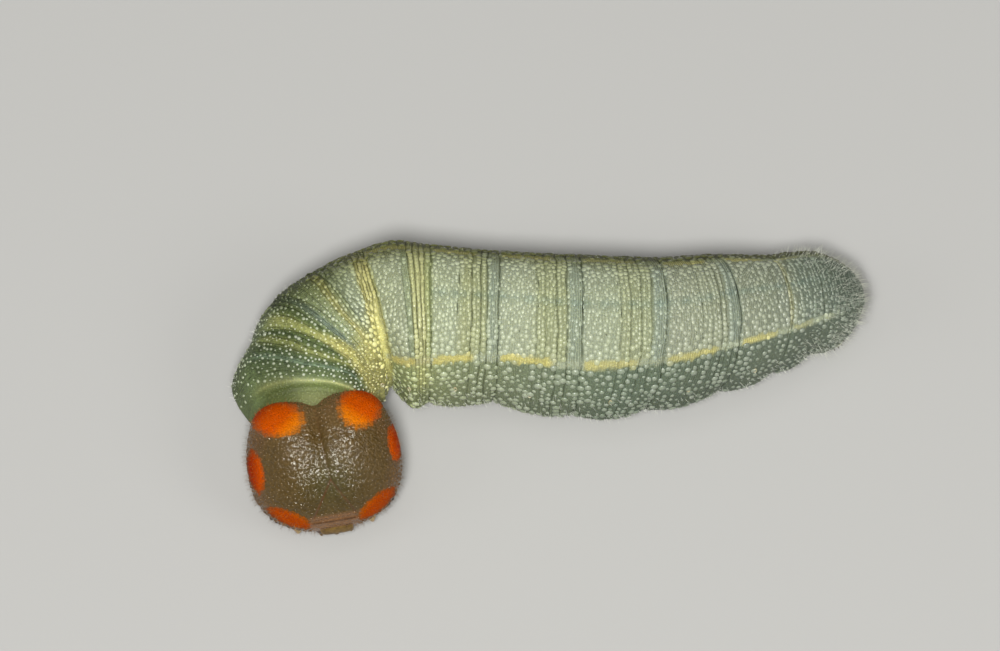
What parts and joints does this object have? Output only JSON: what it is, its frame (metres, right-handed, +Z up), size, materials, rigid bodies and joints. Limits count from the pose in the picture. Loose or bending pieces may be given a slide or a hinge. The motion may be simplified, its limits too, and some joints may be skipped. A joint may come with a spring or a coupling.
{
  "type": "duskywing larva (skipper butterfly)",
  "caption": "Life-size model of a pale green butterfly larva resting on its prolegs, body bent to its left, with an orange-spotted brown head.",
  "frame": {"origin": "on the floor, under the middle of the animal's bounding box", "axes": "+X towards the tail end, +Y to the animal's right along its straight part, +Z up from the floor"},
  "size_m": [0.0161, 0.0078, 0.004],
  "materials": {
    "body_skin": "finely ridged satin skin with raised white granules and a yellow stripe along each side",
    "neck_skin": "smooth, slightly shiny pale green skin",
    "proleg_skin": "soft, slightly translucent pale green skin",
    "head_shell": "hard, finely pebbled, semi-gloss taupe shell with orange spots round its rim",
    "mouth_plate": "thin semi-gloss cream plate",
    "mandible": "hard glossy dark brown",
    "feeler": "semi-gloss straw brown",
    "eye": "very glossy black-brown lenses",
    "leg_shell": "semi-gloss straw coloured shell"
  },
  "bodies": {
    "root": {"head_capsule": "head_shell", "labrum": "mouth_plate", "labium": "mouth_plate", "mandible_left": "mandible", "mandible_right": "mandible", "antenna_left": "feeler", "antenna_right": "feeler", "eye_left": "eye", "eye_right": "eye", "prothorax": "neck_skin", "mesothorax": "body_skin", "metathorax": "body_skin", "abdomen_1": "body_skin", "abdomen_2": "body_skin", "abdomen_3": "body_skin", "abdomen_4": "body_skin", "abdomen_5": "body_skin", "abdomen_6": "body_skin", "abdomen_7": "body_skin", "abdomen_8": "body_skin", "abdomen_9": "body_skin", "abdomen_10": "body_skin", "leg_front_left": "leg_shell", "leg_front_right": "leg_shell", "leg_middle_left": "leg_shell", "leg_middle_right": "leg_shell", "leg_hind_left": "leg_shell", "leg_hind_right": "leg_shell", "proleg_3_left": "proleg_skin", "proleg_3_right": "proleg_skin", "proleg_4_left": "proleg_skin", "proleg_4_right": "proleg_skin", "proleg_5_left": "proleg_skin", "proleg_5_right": "proleg_skin", "proleg_6_left": "proleg_skin", "proleg_6_right": "proleg_skin", "proleg_10_left": "proleg_skin", "proleg_10_right": "proleg_skin"}
  },
  "joints": []
}
